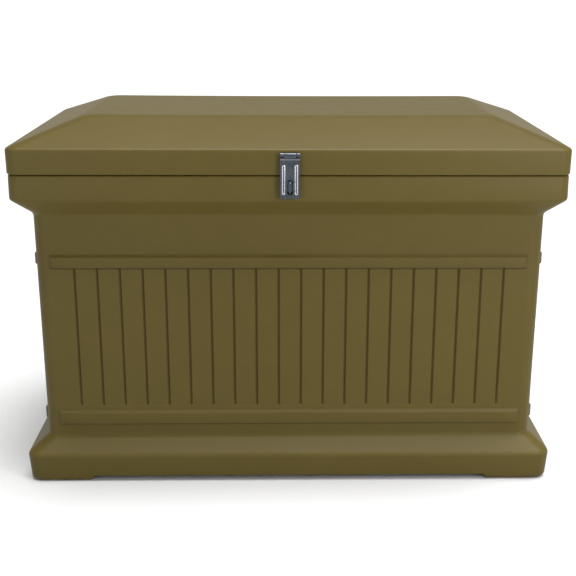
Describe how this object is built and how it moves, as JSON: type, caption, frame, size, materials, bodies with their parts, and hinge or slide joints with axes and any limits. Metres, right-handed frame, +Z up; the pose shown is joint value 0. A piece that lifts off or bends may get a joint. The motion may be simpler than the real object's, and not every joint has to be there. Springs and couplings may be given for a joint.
{
  "type": "parcel drop box",
  "caption": "Moulded plastic parcel drop box: a grooved chest with a hipped hinged lid, slotted lid stays, a plinth and a front safety hasp with a staple.",
  "frame": {"origin": "on the floor, under the centre of the closed chest's bounding box", "axes": "+X to the right seen from the front, the front with the hasp faces -Y, +Z up"},
  "size_m": [1.12, 0.6784, 0.763],
  "materials": {
    "moulded_plastic": "satin moulded polyethylene, faint mottle",
    "zinc_plated_steel": "zinc plated, satin, slightly cloudy",
    "plated_fasteners": "zinc plated, fine turned"
  },
  "bodies": {
    "tub": {"tub": "moulded_plastic", "left_hinge_tub_leaf": "zinc_plated_steel", "left_hinge_pin": "zinc_plated_steel", "left_hinge_tub_screw_a": "plated_fasteners", "left_hinge_tub_screw_b": "plated_fasteners", "centre_hinge_tub_leaf": "zinc_plated_steel", "centre_hinge_pin": "zinc_plated_steel", "centre_hinge_tub_screw_a": "plated_fasteners", "centre_hinge_tub_screw_b": "plated_fasteners", "right_hinge_tub_leaf": "zinc_plated_steel", "right_hinge_pin": "zinc_plated_steel", "right_hinge_tub_screw_a": "plated_fasteners", "right_hinge_tub_screw_b": "plated_fasteners", "staple": "zinc_plated_steel", "staple_screw_left": "plated_fasteners", "staple_screw_right": "plated_fasteners", "staple_nut_left": "plated_fasteners", "staple_nut_right": "plated_fasteners", "staple_backing_plate": "zinc_plated_steel", "left_stay_stud_plate": "zinc_plated_steel", "left_stay_shoulder_screw": "plated_fasteners", "left_stay_plate_screw_a": "plated_fasteners", "left_stay_plate_screw_b": "plated_fasteners", "right_stay_stud_plate": "zinc_plated_steel", "right_stay_shoulder_screw": "plated_fasteners", "right_stay_plate_screw_a": "plated_fasteners", "right_stay_plate_screw_b": "plated_fasteners"},
    "lid": {"lid": "moulded_plastic", "left_hinge_lid_leaf": "zinc_plated_steel", "left_hinge_lid_screw_a": "plated_fasteners", "left_hinge_lid_screw_b": "plated_fasteners", "centre_hinge_lid_leaf": "zinc_plated_steel", "centre_hinge_lid_screw_a": "plated_fasteners", "centre_hinge_lid_screw_b": "plated_fasteners", "right_hinge_lid_leaf": "zinc_plated_steel", "right_hinge_lid_screw_a": "plated_fasteners", "right_hinge_lid_screw_b": "plated_fasteners", "hasp_fixed_leaf": "zinc_plated_steel", "hasp_pin": "zinc_plated_steel", "hasp_screw_left": "plated_fasteners", "hasp_screw_right": "plated_fasteners", "hasp_nut_left": "plated_fasteners", "hasp_nut_right": "plated_fasteners", "hasp_backing_plate": "zinc_plated_steel", "left_stay_lid_bracket": "zinc_plated_steel", "left_stay_rivet": "plated_fasteners", "left_stay_bracket_screw_a": "plated_fasteners", "left_stay_bracket_screw_b": "plated_fasteners", "right_stay_lid_bracket": "zinc_plated_steel", "right_stay_rivet": "plated_fasteners", "right_stay_bracket_screw_a": "plated_fasteners", "right_stay_bracket_screw_b": "plated_fasteners"},
    "hasp_leaf": {"hasp_swing_leaf": "zinc_plated_steel"},
    "left_stay": {"left_stay_arm": "zinc_plated_steel"},
    "right_stay": {"right_stay_arm": "zinc_plated_steel"}
  },
  "joints": [
    {"name": "lid_hinge", "type": "hinge", "parent": "tub", "child": "lid", "pos_m": [0, 0.33375, 0.66175], "axis": [-1, 0, 0], "range_deg": [0, 100]},
    {"name": "hasp_hinge", "type": "hinge", "parent": "lid", "child": "hasp_leaf", "pos_m": [0, -0.32305, 0.703], "axis": [-1, 0, 0], "range_deg": [0, 170]},
    {"name": "left_stay_pivot", "type": "hinge", "parent": "lid", "child": "left_stay", "pos_m": [-0.503, 0.15443, 0.67744], "axis": [-1, 0, 0], "range_deg": [-50, 0]},
    {"name": "right_stay_pivot", "type": "hinge", "parent": "lid", "child": "right_stay", "pos_m": [0.503, 0.15443, 0.67744], "axis": [-1, 0, 0], "range_deg": [-50, 0]}
  ],
  "couplings": [
    {"joint": "left_stay_pivot", "follows": "lid_hinge", "ratio": -0.5},
    {"joint": "right_stay_pivot", "follows": "lid_hinge", "ratio": -0.5}
  ]
}
